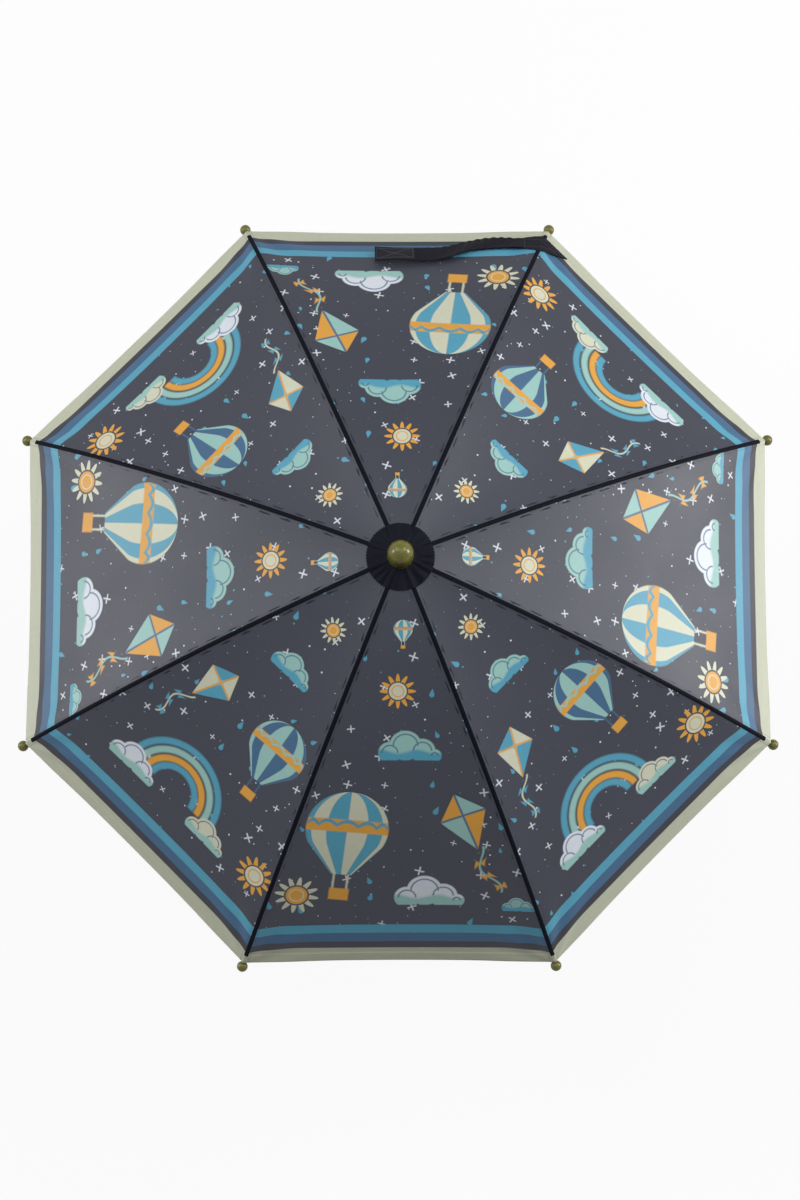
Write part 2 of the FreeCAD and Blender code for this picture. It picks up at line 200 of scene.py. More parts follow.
def plated_steel(name, colour, roughness, grain_scale):
    """Plated steel: a fine drawn grain, slightly cloudy, with dull scuffs."""
    material, tree, shader, tone, scuffs, grain = worn_material(name, grain_scale, 0.01)
    darker = tuple(0.62 * value for value in colour[:3]) + (1.0,)
    shade = mixed(tree, (tone - 0.5).inside(0.3) * 0.6, colour, darker)
    shade = mixed(tree, scuffs * 0.25, shade, darker)
    rough = tone * 0.14 + scuffs * 0.08 + (roughness - 0.07)
    set_up(tree, shader, Base_Color=shade, Roughness=rough, Metallic=1.0)
    roughen(tree, shader, grain, 0.12, 0.0001)
    return material


def dress(material, *nodes):
    """CAD nodes shown as they are, in that material."""
    for node in nodes:
        mesh = frame["nodes"][node].data
        mesh.materials.clear()
        mesh.materials.append(material)


shaft_steel = plated_steel("shaft_steel", srgb(196, 198, 202), 0.24, 900.0)
bright_steel = plated_steel("bright_steel", srgb(214, 215, 218), 0.18, 1500.0)
dress(shaft_steel, "shaft")
dress(bright_steel, "stop_pin", "top_catch_pin", "bottom_catch_pin", "top_catch", "bottom_catch")

# ----------------------------------------------------------------------
# Crown and runner: moulded black plastic hubs with a slot for each eye, and a ring of wire through the
# eyes. The crown is pressed on the shaft near its top, and the runner slides on the shaft.


def moulded_plastic(name, colour, roughness, grain_strength, specular, coat):
    """Moulded plastic: an even colour with a slow change of shade, a fine grain, and fine scuffs that
    dull it."""
    material, tree, shader, tone, scuffs, grain = worn_material(name, 1300.0, 0.008)
    darker = tuple(0.72 * value for value in colour[:3]) + (1.0,)
    paler = tuple(0.75 * value + 0.05 for value in colour[:3]) + (1.0,)
    shade = mixed(tree, (tone - 0.5).inside(0.3) * 0.5, colour, darker)
    shade = mixed(tree, scuffs * 0.35, shade, paler)
    rough = tone * 0.08 + scuffs * 0.25 + (roughness - 0.04)
    set_up(tree, shader, Base_Color=shade, Roughness=rough, Specular_IOR_Level=specular)
    set_up(tree, shader, Coat_Weight=coat, Coat_Roughness=0.06)
    roughen(tree, shader, grain, grain_strength, 0.00008)
    return material


black_plastic = moulded_plastic("black_plastic", srgb(38, 38, 41), 0.42, 0.25, 0.5, 0.0)
dress(black_plastic, "crown", "runner")
dress(bright_steel, "crown_wire", "runner_wire")

# ----------------------------------------------------------------------
# Ribs and stretchers: steel strip folded to a channel, pressed flat at the eyes, zinc plated, and riveted
# together. Eight ribs are bowed by the cloth, and eight stretchers push them out.

gore_count = 8
frame_steel = plated_steel("frame_steel", srgb(150, 153, 160), 0.34, 700.0)
for number in range(1, gore_count + 1):
    dress(frame_steel, f"rib_{number}", f"stretcher_{number}")
    dress(bright_steel, f"rib_rivet_{number}")

# ----------------------------------------------------------------------
# Ball tips: moulded olive plastic, pushed on the ends of the ribs. Each hem corner is tied to a tip's
# neck with a few turns of thread.

olive_plastic = moulded_plastic("olive_plastic", srgb(104, 101, 25), 0.24, 0.12, 0.25, 0.3)
for number in range(1, gore_count + 1):
    dress(olive_plastic, f"rib_tip_{number}")

# ----------------------------------------------------------------------
# Canopy gores: eight pieces of printed polyester, cut to a curved triangle, sewn together along the ribs
# and hemmed along the rim. Each is stretched between two ribs and dips a little between them.

crown_hinge = next(joint["pos_m"] for joint in frame["joints"] if joint["name"] == "rib_1_fold")
hinge_radius = math.hypot(crown_hinge[0], crown_hinge[1])
crown_height = crown_hinge[2]
half_step = math.pi / gore_count
rib_bow_radius = 0.657
rib_root_slope = math.radians(12.0)
rib_bow_x = hinge_radius - rib_bow_radius * math.sin(rib_root_slope)
rib_bow_z = crown_height - rib_bow_radius * math.cos(rib_root_slope)
rib_length = 0.3784
hem_setback = 0.0062
cloth_thickness = 0.0004
cloth_top = 0.0025
canopy_hole_radius = 0.0097
mid_dip = 0.0036
hem_dip = 0.001
hem_bow = 0.0022
hem_fold = 0.0088
hem_zone = 0.014
column_crowding = 1.35
pucker_height = 0.00022
pucker_length = 0.0085
pucker_reach = 0.009
corner_fold_height = 0.0005
corner_folds = 9
corner_fold_from = 0.035
corner_fold_reach = 0.022
hem_doubled = 0.0003
hem_fold_blend = 0.0006
hem_rolled = 0.0004
hem_roll_zone = 0.0012
body_rows = 112
hem_rows = 26
gore_columns = 97


def rib_arc(length, lift):
    """Radius, height and slope on the rib's circular bow, at a length from its hinge and a lift above
    it."""
    slope = rib_root_slope + length / rib_bow_radius
    reach = rib_bow_radius + lift
    return rib_bow_x + reach * np.sin(slope), rib_bow_z + reach * np.cos(slope), slope


def turn_about_shaft(points, angle):
    """Points turned about the shaft's axis."""
    c, s = math.cos(angle), math.sin(angle)
    x, y, z = points[..., 0], points[..., 1], points[..., 2]
    return np.stack([c * x - s * y, s * x + c * y, z], axis=-1)


def soft_step(value, start, stop):
    """0 up to start and 1 from stop, with a smooth cubic between."""
    share = np.clip((value - start) / (stop - start), 0, 1)
    return share * share * (3 - 2 * share)


def grid_object(name, points, uv):
    """An object whose mesh joins points[row, column] with quads. It faces the way that rows x columns
    turn, as the right hand does, and its UV map, named cloth, is uv[row, column]."""
    rows, columns = points.shape[:2]
    index = np.arange(rows * columns).reshape(rows, columns)
    cut = (slice(None, -1), slice(1, None))
    order = ((0, 0), (1, 0), (1, 1), (0, 1))
    quads = np.stack([index[cut[a], cut[b]] for a, b in order], axis=-1).reshape(-1, 4)
    mesh = bpy.data.meshes.new(name)
    mesh.from_pydata(points.reshape(-1, 3).tolist(), [], quads.tolist())
    loops = np.stack([uv[cut[a], cut[b]] for a, b in order], axis=-2).reshape(-1)
    mesh.uv_layers.new(name="cloth").data.foreach_set("uv", loops.astype(np.float32))
    mesh.shade_smooth()
    piece = bpy.data.objects.new(name, mesh)
    bpy.context.scene.collection.objects.link(piece)
    return piece


def give_thickness(piece, thickness, inside_slot=0):
    """A live Solidify that lets the cloth grow inwards from its outer face."""
    wall = piece.modifiers.new("cloth_thickness", "SOLIDIFY")
    wall.thickness = thickness
    wall.offset = -1
    wall.material_offset = inside_slot


def gore_surface():
    """Gore about the +X axis. Each row is a straight line between the two ribs at one length along them,
    and reaches the hem by a shallow arc. From it the cloth dips by a parabola across, puckers beside the
    seams in short waves that die out with distance, folds in rays from its corners, and is doubled at the
    hem. Gives points, the flat cloth in metres from the middle of the hem, and the cloth's distance from
    a seam."""
    hem_length = rib_length - hem_setback
    inner_length = (canopy_hole_radius - hinge_radius) / math.cos(rib_root_slope)
    side = np.linspace(-1, 1, gore_columns)
    side = np.sign(side) * (1 - (1 - np.abs(side)) ** column_crowding)
    body = np.linspace(inner_length, hem_length - hem_zone, body_rows, endpoint=False)
    rows = np.concatenate([body, np.linspace(hem_length - hem_zone, hem_length, hem_rows)])[:, None]
    share = (rows - inner_length) / (hem_length - inner_length)
    hem_arc = hem_bow * (1 - side ** 2)
    length = rows - hem_arc * share
    radius, height, slope = rib_arc(length, cloth_top)
    steep = np.arctan2(np.sin(slope), np.cos(half_step) * np.cos(slope))
    across = radius * math.sin(half_step) * side
    from_seam = radius * math.sin(half_step) * (1 - np.abs(side))
    from_hem = (hem_length - hem_arc) - length
    dip = (1 - side ** 2) * (mid_dip * np.sin(math.pi * share ** 1.2) ** 0.8 + hem_dip * share ** 3)
    swell = 0.65 + 0.35 * np.sin(length / 0.021) * np.sin(length / 0.0137 + side)
    pucker = swell * np.sin(2 * math.pi * length / pucker_length) * np.exp(-from_seam / pucker_reach)
    pucker = pucker * np.clip(from_seam / 0.002, 0, 1) * np.clip(radius / 0.04 - 0.3, 0, 1)
    corner_away = np.hypot(from_seam, from_hem)
    rays = np.sin(corner_folds * np.arctan2(from_seam, from_hem + 0.001))
    rays = rays * np.exp(-((corner_away - corner_fold_from) / corner_fold_reach) ** 2)
    doubled = hem_doubled * soft_step(-from_hem, -hem_fold - hem_fold_blend, -hem_fold + hem_fold_blend)
    rolled = hem_rolled * soft_step(-from_hem, -hem_roll_zone, 0.0)
    sink = dip - pucker_height * pucker - corner_fold_height * rays - doubled + rolled
    along = radius * math.cos(half_step) - sink * np.sin(steep)
    points = np.stack([along, across, height - sink * np.cos(steep)], axis=-1)
    slanted = np.hypot(math.cos(half_step) * np.cos(slope), np.sin(slope))
    middle = gore_columns // 2
    run = np.concatenate([[0], np.cumsum(slanted[1:, middle] * np.diff(length[:, middle]))])
    up_cloth = np.interp(length, length[:, middle], run[-1] - run)
    beyond = np.clip(length - length[-1, middle], 0, None)
    uv = np.stack([across, up_cloth - beyond], axis=-1)
    return points, uv, from_seam * math.cos(half_step) + 0 * points[..., 0]


def flat_place(tree, vector):
    """X and Y of a vector, as numbers."""
    axes = add_node(tree, "ShaderNodeSeparateXYZ")
    tree.links.new(vector, axes.inputs[0])
    return Number(tree, axes.outputs["X"]), Number(tree, axes.outputs["Y"])


def place_from(tree, vector, middle, angle):
    """X and Y of a vector from that middle, turned by the angle."""
    offset = add_node(tree, "ShaderNodeVectorMath", operation="SUBTRACT")
    tree.links.new(vector, offset.inputs[0])
    tree.links.new(middle, offset.inputs[1])
    turn = add_node(tree, "ShaderNodeVectorRotate", rotation_type="Z_AXIS", Angle=angle)
    set_up(tree, turn, Vector=offset.outputs[0])
    return flat_place(tree, turn.outputs[0])


def motif(name, draw):
    """A group that lays one printed motif over the colour Under. At is its middle on the flat cloth, Size
    its unit and Turn its angle. The function draw gets x and y in units, and the inks."""
    inputs = {"Under": "Color", "Cloth": "Vector", "At": "Vector", "Size": "Float", "Turn": "Float"}
    inputs |= {"Ink 1": "Color", "Ink 2": "Color", "Ink 3": "Color"}
    group, start, end = new_group(name, inputs, {"Colour": "Color"})
    x, y = place_from(group, start.outputs["Cloth"], start.outputs["At"], start.outputs["Turn"])
    size = Number(group, start.outputs["Size"])
    inks = [start.outputs[f"Ink {i}"] for i in (1, 2, 3)]
    set_up(group, end, Colour=draw(group, start.outputs["Under"], x / size, y / size, inks))
    return group


print_edge = 0.02


def length_of(x, y):
    """Distance from the motif's middle."""
    return (x * x + y * y).math("SQRT")


def draw_balloon(tree, under, x, y, inks):
    """Hot-air balloon: a round envelope that tapers to its mouth, upright stripes, a scalloped band,
    ropes and a basket. The stripes follow the sine of the angle round the envelope."""
    taper_from, mouth, mouth_half = -0.45, -1.3, 0.24
    shoulder = math.sqrt(1 - taper_from ** 2)
    slant = (shoulder - mouth_half) / (taper_from - mouth)
    low = y < taper_from
    round_half = (-(y * y) + 1).most(0.0001).math("SQRT")
    taper_half = ((y - mouth) * slant + mouth_half).most(0.001)
    half = round_half + (taper_half - round_half) * low
    body = (half - abs(x)).least(y - mouth).least(-y + 1).inside(print_edge)
    swing = (x / half).math("ARCSINE")
    stripe = (swing * 6.0).math("SINE").inside(0.12)
    ropes = (-abs(abs(x) - 0.17) + 0.025).least(y + 1.75).least(-y - 1.25).inside(print_edge)
    basket = (-abs(x) + 0.24).least(-abs(y + 1.88) + 0.17).inside(print_edge)
    band = (-abs(y - 0.08) + 0.17).inside(print_edge)
    scallop = (-abs(y - 0.08 - abs((swing * 6.0).math("COSINE")) * 0.12) + 0.05).inside(print_edge)
    colour = mixed(tree, ropes, under, inks[1])
    colour = mixed(tree, basket, colour, inks[2])
    envelope = mixed(tree, stripe, inks[0], inks[1])
    envelope = mixed(tree, band, envelope, inks[2])
    envelope = mixed(tree, scallop, envelope, inks[0])
    return mixed(tree, body, colour, envelope)


def draw_cloud(tree, under, x, y, inks):
    """Cloud: a row of puffs on a flat base, with a darker belly and a curl line in each puff."""
    puffs = [(-0.62, -0.06, 0.40), (-0.08, 0.20, 0.55), (0.50, 0.02, 0.44), (0.92, -0.16, 0.24)]
    shape = None
    curls = None
    for across, above, size in puffs:
        reach = -length_of(x - across, y - above) + size
        curl = (-abs(reach - 0.13) + 0.022).least(y - above)
        shape = reach if shape is None else shape.most(reach)
        curls = curl if curls is None else curls.most(curl)
    body = shape.least(y + 0.34).inside(print_edge)
    belly = (-y - 0.02 + (x * 5.0).math("SINE") * 0.07).inside(0.06)
    fill = mixed(tree, belly, inks[0], inks[1])
    fill = mixed(tree, curls.inside(print_edge), fill, inks[2])
    return mixed(tree, body, under, fill)


def draw_sun(tree, under, x, y, inks):
    """Sun: a disc with a ring in it, and a crown of pointed rays."""
    reach = length_of(x, y)
    angle = y.math("ARCTAN2", x)
    rays = ((angle * 12.0).math("COSINE") * 0.24 - reach + 0.78).least(reach - 0.58).inside(print_edge)
    disc = (-reach + 0.5).inside(print_edge)
    ring = (-abs(reach - 0.33) + 0.03).inside(print_edge)
    colour = mixed(tree, rays, under, inks[1])
    colour = mixed(tree, disc, colour, inks[0])
    return mixed(tree, ring, colour, inks[2])


def draw_kite(tree, under, x, y, inks):
    """Kite: a diamond in four coloured quarters with crossed spars, and a wavy tail with bows."""
    tall = -(y > 0.0) * 0.45 + 1.15
    diamond = (-abs(x) / 0.66 - abs(y) / tall + 1).inside(print_edge)
    quarter = ((x * y) * 40.0).inside(0.3)
    spar = (-abs(x).least(abs(y)) + 0.03).inside(print_edge)
    drift = (y * 4.4).math("SINE") * 0.17
    tail = (-abs(x - drift) + 0.03).least(-y - 1.1).least(y + 2.7).inside(print_edge)
    bow_y = ((y * 2.2).math("FRACT") - 0.5) * 0.455
    bow = (abs(x - drift) * 0.8 - abs(bow_y) + 0.005).least(-abs(x - drift) + 0.15)
    bow = bow.least(-y - 1.25).least(y + 2.6).inside(print_edge)
    colour = mixed(tree, tail, under, inks[1])
    colour = mixed(tree, bow, colour, inks[0])
    sail = mixed(tree, quarter, inks[0], inks[1])
    sail = mixed(tree, spar, sail, inks[2])
    return mixed(tree, diamond, colour, sail)


def draw_rainbow(tree, under, x, y, inks):
    """Rainbow: half rings in three inks with thin gaps between."""
    reach = length_of(x, y)
    above = y.inside(print_edge)
    colour = under
    for ring, ink in ((0.92, inks[0]), (0.76, inks[1]), (0.60, inks[2]), (0.46, inks[0])):
        band = (-abs(reach - ring) + 0.06).inside(print_edge) * above
        colour = mixed(tree, band, colour, ink)
    return colour


drawings = {
    "balloon": draw_balloon, "cloud": draw_cloud, "sun": draw_sun, "kite": draw_kite, "rainbow": draw_rainbow
}
motifs = {name: motif(name, draw) for name, draw in drawings.items()}
ink = {
    "ground": srgb(39, 42, 56),
    "navy": srgb(27, 29, 43),
    "pale": srgb(184, 187, 166),
    "teal": srgb(78, 152, 178),
    "steel": srgb(54, 92, 126),
    "mint": srgb(148, 190, 184),
    "cream": srgb(204, 205, 182),
    "mustard": srgb(216, 156, 60),
    "white": srgb(216, 221, 230),
}
# Each motif of a print: kind, place on the flat cloth from the middle of the hem, size, turn and inks.
prints = {
    "canopy_print_one": [
        ("balloon", (-0.042, 0.130), 0.0330, 0.12, ("teal", "cream", "mustard")),
        ("kite", (0.050, 0.142), 0.0290, -0.38, ("mustard", "mint", "steel")),
        ("cloud", (0.022, 0.066), 0.0260, 0.0, ("white", "mint", "steel")),
        ("cloud", (0.095, 0.056), 0.0125, 0.0, ("mint", "teal", "steel")),
        ("sun", (-0.083, 0.068), 0.0175, 0.2, ("mustard", "cream", "cream")),
        ("cloud", (0.006, 0.198), 0.0230, 0.0, ("mint", "teal", "steel")),
        ("sun", (-0.002, 0.248), 0.0140, 0.0, ("cream", "mustard", "mustard")),
        ("balloon", (0.002, 0.298), 0.0075, 0.0, ("teal", "cream", "mustard")),
    ],
    "canopy_print_two": [
        ("rainbow", (-0.010, 0.072), 0.0470, 0.0, ("teal", "mint", "mustard")),
        ("cloud", (-0.050, 0.066), 0.0220, 0.0, ("white", "mint", "steel")),
        ("cloud", (0.034, 0.064), 0.0190, 0.0, ("cream", "mint", "steel")),
        ("kite", (-0.036, 0.178), 0.0240, 0.45, ("teal", "cream", "mustard")),
        ("balloon", (0.034, 0.170), 0.0250, -0.1, ("mint", "steel", "mustard")),
        ("sun", (0.087, 0.072), 0.0170, 0.0, ("cream", "mustard", "mustard")),
        ("cloud", (-0.002, 0.228), 0.0180, 0.0, ("mint", "teal", "steel")),
        ("sun", (0.002, 0.276), 0.0105, 0.2, ("mustard", "cream", "cream")),
    ],
}


def stamp(tree, kind, under, cloth, at, size, turn, inks):
    """One motif laid over the colour so far."""
    inks = {f"Ink_{i}": ink[name] for i, name in enumerate(inks, 1)}
    node = add_node(tree, "ShaderNodeGroup", node_tree=motifs[kind], Under=under, Cloth=cloth, **inks)
    return set_up(tree, node, At=(*at, 0), Size=size, Turn=turn).outputs["Colour"]


def cell_pattern(tree, cloth, scale, randomness):
    """Voronoi cells of that many to the metre over the flat cloth."""
    cells = add_node(tree, "ShaderNodeTexVoronoi", voronoi_dimensions="2D", Vector=cloth)
    return set_up(tree, cells, Scale=scale, Randomness=randomness)


def scattered_marks_group():
    """Small marks between the motifs. A Voronoi pattern places one in each cell: a cross or a raindrop,
    each turned its own way. A finer pattern scatters dots, and only some cells of either hold a mark."""
    inputs = {"Cloth": "Vector", "Shift": "Vector"}
    group, start, end = new_group("scattered_marks", inputs, {"Colour": "Color"})
    shifted = add_node(group, "ShaderNodeVectorMath", operation="ADD")
    group.links.new(start.outputs["Cloth"], shifted.inputs[0])
    group.links.new(start.outputs["Shift"], shifted.inputs[1])
    cloth = shifted.outputs[0]
    fine = cell_pattern(group, cloth, 95.0, 1.0)
    fine_lots = add_node(group, "ShaderNodeSeparateColor", Color=fine.outputs["Color"])
    chance = Number(group, fine_lots.outputs[0])
    dot_size = chance.math("POWER", 3.0) * 0.075
    dot = (dot_size - Number(group, fine.outputs["Distance"])).inside(0.012) * (chance > 0.42)
    tint = mixed(group, Number(group, fine_lots.outputs[1]) > 0.6, ink["white"], ink["teal"])
    colour = mixed(group, dot, ink["ground"], tint)
    cells = cell_pattern(group, cloth, 38.0, 0.7)
    lots = add_node(group, "ShaderNodeSeparateColor", Color=cells.outputs["Color"])
    angle = Number(group, lots.outputs[1]) * 1.2 - 0.6
    size = Number(group, lots.outputs[2]) * 0.0016 + 0.0024
    x, y = (along / size for along in place_from(group, cloth, cells.outputs["Position"], angle))
    cross = (-abs(x).least(abs(y)) + 0.15).least(-abs(x).most(abs(y)) + 1).inside(0.1)
    bulb = -length_of(x, y + 0.35) + 0.55
    drop = bulb.most(((-y + 1.1) * 0.42 - abs(x)).least(y + 0.28)).inside(0.08)
    kind = Number(group, lots.outputs[0])
    colour = mixed(group, cross * (kind > 0.62), colour, ink["white"])
    colour = mixed(group, drop * (kind < 0.34), colour, ink["teal"])
    set_up(group, end, Colour=colour)
    return group


def hem_stripes_group():
    """Printed stripes along the hem, by distance from it: pale, navy, steel blue and teal. The cloth is
    cut on a slight curve, so the pale stripe narrows towards both corners."""
    group, start, end = new_group("hem_stripes", {"Under": "Color", "Cloth": "Vector"}, {"Colour": "Color"})
    corner_half = 0.1265
    pinch = 0.0055
    across, from_hem = flat_place(group, start.outputs["Cloth"])
    distance = from_hem + (abs(across) / corner_half).math("POWER", 7.0) * pinch
    colour = start.outputs["Under"]
    for outer, inner, name in (
        (0.0286, 0.0372, "teal"),
        (0.0196, 0.0288, "steel"),
        (0.0133, 0.0198, "navy"),
        (-0.0100, 0.0133, "pale"),
    ):
        band = (distance - outer).least(-distance + inner).inside(0.0003)
        colour = mixed(group, band, colour, ink[name])
    set_up(group, end, Colour=colour)
    return group


def weave_group():
    """Plain weave: crossed threads as a product of two sines, uneven threads, and slow changes of tone."""
    inputs = {"Cloth": "Vector", "Thread": "Float"}
    outputs = {"Height": "Float", "Tone": "Float", "Cloudiness": "Float"}
    group, start, end = new_group("weave", inputs, outputs)
    cloth = start.outputs["Cloth"]
    thread = Number(group, start.outputs["Thread"])
    warp, weft = ((along / thread * math.pi).math("SINE") for along in flat_place(group, cloth))
    slub = add_node(group, "ShaderNodeTexNoise", Vector=cloth, Scale=240.0, Detail=2.0)
    cloud = add_node(group, "ShaderNodeTexNoise", Vector=cloth, Scale=16.0, Detail=3.0)
    height = warp * weft * 0.5 + Number(group, slub.outputs[0]) * 0.7
    tone = Number(group, cloud.outputs[0]) * 0.16 + Number(group, slub.outputs[0]) * 0.10 + 0.87
    set_up(group, end, Height=height, Tone=tone, Cloudiness=cloud.outputs[0])
    return group


scattered_marks = scattered_marks_group()
hem_stripes = hem_stripes_group()
weave = weave_group()
polyester_thread = 0.00035
stitch_length = 0.0030
topstitch_from_seam = 0.0033


def woven_material(name, thread):
    """A new material with its tree and shader, the cloth's UV map, and the outputs of the weave."""
    material, tree, shader = new_material(name)
    cloth = add_node(tree, "ShaderNodeUVMap", uv_map="cloth").outputs[0]
    threads = add_node(tree, "ShaderNodeGroup", node_tree=weave, Cloth=cloth, Thread=thread).outputs
    return material, tree, shader, cloth, threads


def colour_cloth(tree, shader, colour, threads):
    """The shader's colour, made darker and paler by the threads' tone."""
    set_up(tree, shader, Base_Color=mixed(tree, 1.0, colour, threads["Tone"], "MULTIPLY"))


def canopy_material(name, printed, marks_shift):
    """Printed polyester with a satin gloss. The print and hem stripes lie under the weave, and stitched
    rows run along the hem and beside each seam."""
    material, tree, shader, cloth, threads = woven_material(name, polyester_thread)
    shift = (marks_shift, marks_shift, 0)
    marks = add_node(tree, "ShaderNodeGroup", node_tree=scattered_marks, Cloth=cloth, Shift=shift)
    colour = marks.outputs["Colour"]
    for kind, at, size, turn, inks in printed:
        colour = stamp(tree, kind, colour, cloth, at, size, turn, inks)
    stripes = add_node(tree, "ShaderNodeGroup", node_tree=hem_stripes, Under=colour, Cloth=cloth)
    from_seam = Number(tree, add_node(tree, "ShaderNodeAttribute", attribute_name="from_seam").outputs["Fac"])
    topstitch = (-abs(from_seam - topstitch_from_seam) + 0.0002).inside(0.0002)
    stitched = mixed(tree, topstitch * 0.5, stripes.outputs["Colour"], (0.25, 0.25, 0.32, 1), "MULTIPLY")
    colour_cloth(tree, shader, stitched, threads)
    across, from_hem = flat_place(tree, cloth)
    row = (-abs(from_hem - hem_fold) + 0.00035).inside(0.00015)
    stitch = row * ((across / stitch_length).math("FRACT") - 0.2).inside(0.05)
    height = Number(tree, threads["Height"]) * 0.25 + stitch * 1.2 - row * 0.8 - topstitch
    roughen(tree, shader, height, 0.35, 0.0002)
    set_up(tree, shader, Roughness=Number(tree, threads["Cloudiness"]) * 0.16 + 0.42)
    return material


def cloth_inside_material():
    """Back of the printed cloth, where the stripes and the ground show through, dull and with no print."""
    material, tree, shader, cloth, threads = woven_material("canopy_inside", polyester_thread)
    back = srgb(58, 60, 74)
    stripes = add_node(tree, "ShaderNodeGroup", node_tree=hem_stripes, Under=back, Cloth=cloth)
    colour_cloth(tree, shader, mixed(tree, 0.45, stripes.outputs["Colour"], back), threads)
    roughen(tree, shader, threads["Height"], 0.3, 0.0002)
    set_up(tree, shader, Roughness=0.75)
    return material


canopy_prints = [canopy_material(*entry, 0.37 * shift) for shift, entry in enumerate(prints.items(), 1)]
canopy_inside = cloth_inside_material()
gore_points, gore_uv, gore_from_seam = gore_surface()

for number in range(1, gore_count + 1):
    azimuth = 2 * half_step * number
    gore = grid_object(f"canopy_gore_{number}", turn_about_shaft(gore_points, azimuth), gore_uv)
    layer = gore.data.attributes.new("from_seam", "FLOAT", "POINT")
    layer.data.foreach_set("value", gore_from_seam.astype(np.float32).ravel())
    gore.data.materials.append(canopy_prints[number % 2])
    gore.data.materials.append(canopy_inside)
    give_thickness(gore, cloth_thickness, 1)
    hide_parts(f"canopy_panel_{number}")
    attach(gore, f"panel_{number}_body")
    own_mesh(gore)

# ----------------------------------------------------------------------
# Seams: the edges of two gores are turned in together and sewn, which shows as a doubled strip inside the
# canopy along each rib. Outside, a narrow near-black strip over each seam, as far as the pale hem, is painted
# shade: it stands for the seam's dark line, where the doubled cloth lets less light through. Thread
# ties the corner to the neck of the tip.

allowance_half_width = 0.0042
allowance_thickness = 0.0005
allowance_lift = 0.0020
allowance_from_hem = 0.0008
# Painted shade: the near-black strip over each seam outside, for the seam's dark line.
painted_seam_shade_half_width = 0.0018
painted_seam_shade_thickness = 0.0003
painted_seam_shade_lift = cloth_top + 0.0004
painted_seam_shade_from_hem = 0.0080
strip_rows = 150
strip_columns = 11
strip_wave_length = 0.0031
strip_room = 0.8
thread_radius = 0.00022
binding_radius = 0.0019
binding_from_ball = 0.0072
binding_turns = 7
steps_per_turn = 40
thread_sides = 8
neck_before_end = 0.008


def close_seam(piece):
    """The first and last column of a closed grid are one, so their doubled points are merged."""
    work = bmesh.new()
    work.from_mesh(piece.data)
    bmesh.ops.remove_doubles(work, verts=work.verts, dist=1e-6)
    work.to_mesh(piece.data)
    work.free()


def seam_strip(half_width, lift, from_hem, wave_height):
    """Strip about the +X axis, along the rib's arc. It dips to both sides as the gores do, its edges
    wave, and near the crown it is no wider than the gores leave room for."""
    start = (canopy_hole_radius - hinge_radius) / math.cos(rib_root_slope)
    length = np.linspace(start, rib_length - hem_setback - from_hem, strip_rows)[:, None]
    side = np.linspace(-1, 1, strip_columns)
    radius, height, slope = rib_arc(length, lift)
    wave = wave_height * np.sin(length / strip_wave_length) * np.abs(side)
    across = np.minimum(half_width, strip_room * radius * math.sin(half_step)) * side
    drop = np.abs(across) * math.tan(half_step) * np.sin(slope) + wave * side
    out, z = radius - drop * np.sin(slope), height - drop * np.cos(slope)
    points = np.stack([out, across + 0 * out, z], axis=-1)
    uv = np.stack([across + 0 * length, length[-1] - length + 0 * side], axis=-1)
    return points, uv


def thread_binding(number):
    """Turns of thread round the tip's neck: a helix about the tip's axis, as a tube that closes to a
    point at both ends."""
    turn = np.linspace(0, 2 * math.pi * binding_turns, steps_per_turn * binding_turns)
    around = np.linspace(0, -2 * math.pi, thread_sides + 1)[None, :]
    _, _, slope = rib_arc(rib_length - neck_before_end, 0)
    radius, height, _ = rib_arc(rib_length, 0)
    outward = np.array([math.cos(slope), 0, -math.sin(slope)])
    lifted = np.array([math.sin(slope), 0, math.cos(slope)])
    sideways = np.array([0.0, 1.0, 0.0])
    middle = np.array([radius, 0, height]) - binding_from_ball * outward
    rise = (turn / (2 * math.pi) - binding_turns / 2) * 2 * thread_radius
    ring = np.cos(turn)[:, None] * lifted + np.sin(turn)[:, None] * sideways
    core = middle + rise[:, None] * outward + binding_radius * ring
    thickness = thread_radius * np.minimum(1, np.minimum(turn, turn[-1] - turn))[:, None, None]
    wall = np.cos(around)[..., None] * ring[:, None] + np.sin(around)[..., None] * outward
    points = core[:, None] + thickness * wall
    uv = np.stack(np.broadcast_arrays(around * thread_radius, turn[:, None] * binding_radius), axis=-1)
    binding = grid_object(f"tip_thread_{number}", turn_about_shaft(points, (2 * number - 1) * half_step), uv)
    close_seam(binding)
    return binding


def plain_cloth(name, colour, thread, roughness, bump_strength):
    """Woven cloth in one colour, with uneven threads and slow changes of tone."""
    material, tree, shader, _, threads = woven_material(name, thread)
    colour_cloth(tree, shader, colour, threads)
    roughen(tree, shader, threads["Height"], bump_strength, 0.0002)
    set_up(tree, shader, Roughness=roughness, Specular_IOR_Level=0.06)
    return material


def strips_along_ribs(name, thickness, surface, material):
    """One strip of cloth along each rib."""
    points, uv = surface
    for number in range(1, gore_count + 1):
        strip = grid_object(f"{name}_{number}", turn_about_shaft(points, (2 * number - 1) * half_step), uv)
        strip.data.materials.append(material)
        give_thickness(strip, thickness)
        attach(strip, f"rib_{number}_body")


strips_along_ribs(
    "seam_allowance", allowance_thickness,
    seam_strip(allowance_half_width, allowance_lift, allowance_from_hem, 0.00025),
    plain_cloth("seam_allowance", srgb(52, 54, 68), polyester_thread, 0.8, 0.3),
)
# Painted shade: a near-black strip over each seam outside, as far as the pale hem.
strips_along_ribs(
    "seam_binding", painted_seam_shade_thickness,
    seam_strip(painted_seam_shade_half_width, painted_seam_shade_lift, painted_seam_shade_from_hem, 0.00004),
    plain_cloth("seam_binding", srgb(9, 10, 21), polyester_thread, 0.6, 0.3),
)
thread_material = plain_cloth("sewing_thread", srgb(166, 168, 136), 0.0002, 0.6, 0.5)
for number in range(1, gore_count + 1):
    binding = thread_binding(number)
    binding.data.materials.append(thread_material)
    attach(binding, f"rib_{number}_body")

